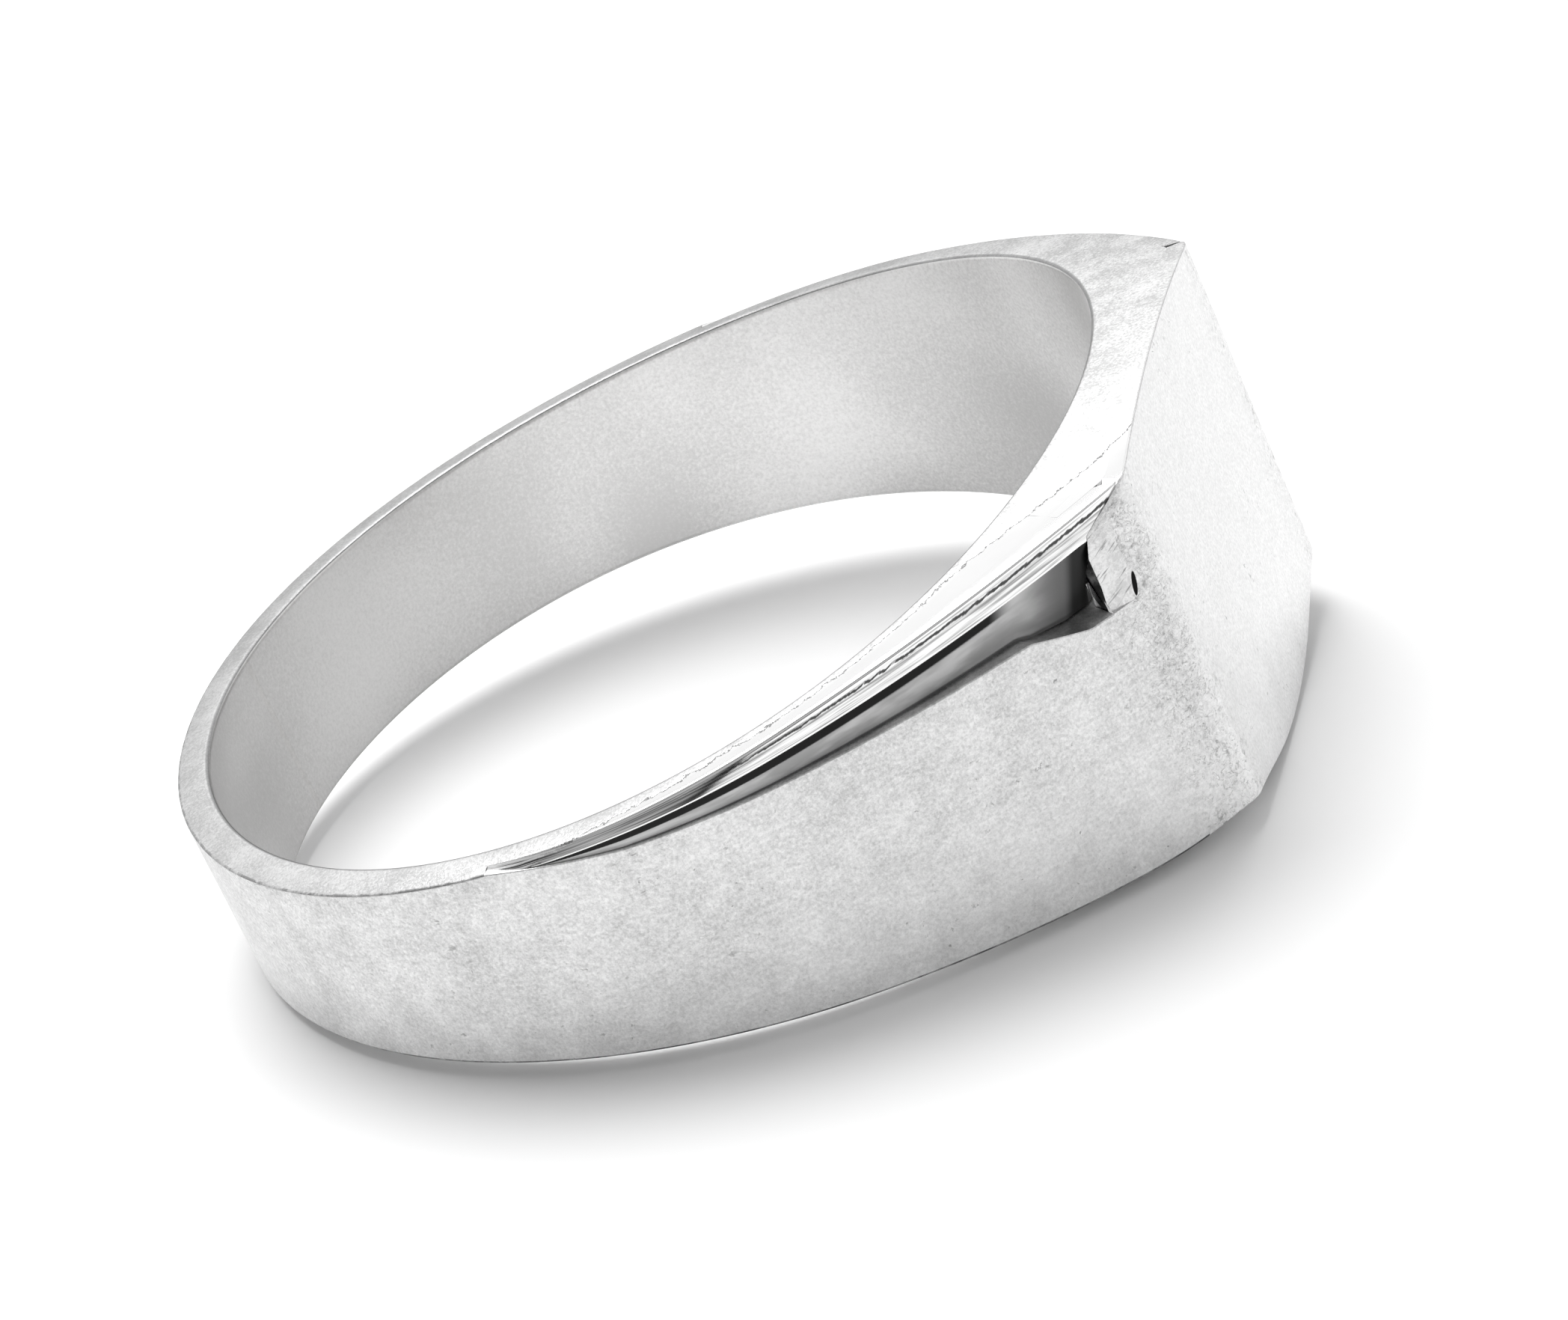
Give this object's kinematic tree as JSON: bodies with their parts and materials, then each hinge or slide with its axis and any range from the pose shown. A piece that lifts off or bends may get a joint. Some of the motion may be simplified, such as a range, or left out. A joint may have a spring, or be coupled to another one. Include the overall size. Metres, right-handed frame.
{
  "type": "signet ring",
  "caption": "Plain silver signet ring with a satin flat table, polished flared cheeks and a tapering shank.",
  "frame": {"origin": "centre of the finger bore", "axes": "+Z along the finger bore, +X from the bore's centre to the middle of the signet table, +Y completes the right-handed frame"},
  "size_m": [0.0211, 0.0204, 0.008],
  "materials": {
    "polished_silver": "mirror-polished sterling silver",
    "brushed_silver": "satin sterling silver, fine brushing",
    "bore_satin": "soft satin sterling silver, worn by the finger",
    "solder": "silver solder, slightly greyer than the band"
  },
  "bodies": {
    "root": {"inner_band": "bore_satin", "sizing_seam": "solder", "head_block": "polished_silver", "signet_table": "brushed_silver", "near_shoulder_strap": "brushed_silver", "far_shoulder_strap": "brushed_silver", "back_strap": "brushed_silver", "near_cheek": "polished_silver", "far_cheek": "polished_silver"}
  },
  "joints": []
}
